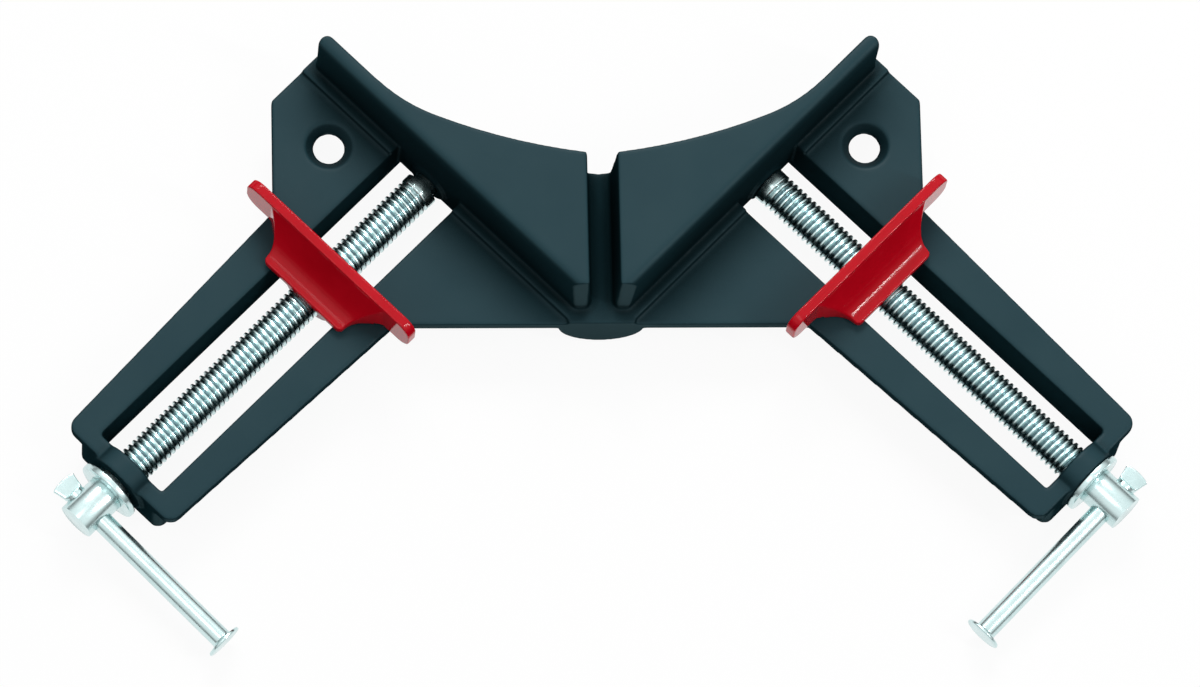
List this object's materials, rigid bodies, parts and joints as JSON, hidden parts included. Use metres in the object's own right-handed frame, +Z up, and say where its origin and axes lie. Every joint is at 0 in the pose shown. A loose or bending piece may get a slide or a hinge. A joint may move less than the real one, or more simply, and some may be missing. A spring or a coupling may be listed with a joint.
{
  "type": "corner clamp",
  "caption": "Screw-driven corner clamp: a ribbed casting with two square fences, sliding jaws on captive screws with tommy bars, a saw kerf channel and bench screw holes.",
  "frame": {"origin": "midway between the two bench screw holes, on the underside of the casting's plate", "axes": "+X across the clamp to the right-hand arm, +Y away from the user towards the decks, +Z up"},
  "size_m": [0.2584, 0.1471, 0.0302],
  "materials": {
    "cast_enamel": "satin stove enamel over die-cast aluminium",
    "jaw_enamel": "gloss stove enamel over die-cast aluminium",
    "bright_zinc": "bright blue-white zinc plate on steel"
  },
  "bodies": {
    "casting": {"body_casting": "cast_enamel"},
    "left_screw_set": {"left_screw": "bright_zinc", "left_head_washer": "bright_zinc", "left_thrust_washer": "bright_zinc", "left_retaining_ring": "bright_zinc"},
    "left_bar": {"left_tommy_bar": "bright_zinc"},
    "left_jaw_body": {"left_jaw": "jaw_enamel"},
    "right_screw_set": {"right_screw": "bright_zinc", "right_head_washer": "bright_zinc", "right_thrust_washer": "bright_zinc", "right_retaining_ring": "bright_zinc"},
    "right_bar": {"right_tommy_bar": "bright_zinc"},
    "right_jaw_body": {"right_jaw": "jaw_enamel"}
  },
  "joints": [
    {"name": "left_screw_turn", "type": "hinge", "parent": "casting", "child": "left_screw_set", "pos_m": [-0.04016, -0.00734, -0.0018], "axis": [-0.7071, -0.7071, 0], "range_deg": [-7751, 13607]},
    {"name": "left_jaw_slide", "type": "slide", "parent": "casting", "child": "left_jaw_body", "axis": [-0.7071, -0.7071, 0], "range_m": [-0.0323, 0.0567]},
    {"name": "left_bar_slide", "type": "slide", "parent": "left_screw_set", "child": "left_bar", "axis": [-0.7039, 0.7039, 0.0958], "range_m": [0, 0.038]},
    {"name": "right_screw_turn", "type": "hinge", "parent": "casting", "child": "right_screw_set", "pos_m": [0.04016, -0.00734, -0.0018], "axis": [0.7071, -0.7071, 0], "range_deg": [-7319, 14039]},
    {"name": "right_jaw_slide", "type": "slide", "parent": "casting", "child": "right_jaw_body", "axis": [0.7071, -0.7071, 0], "range_m": [-0.0305, 0.0585]},
    {"name": "right_bar_slide", "type": "slide", "parent": "right_screw_set", "child": "right_bar", "axis": [0.7039, 0.7039, 0.0958], "range_m": [0, 0.038]}
  ],
  "couplings": [
    {"joint": "left_jaw_slide", "follows": "left_screw_turn", "m_per_rad": 0.00023873},
    {"joint": "right_jaw_slide", "follows": "right_screw_turn", "m_per_rad": 0.00023873}
  ]
}
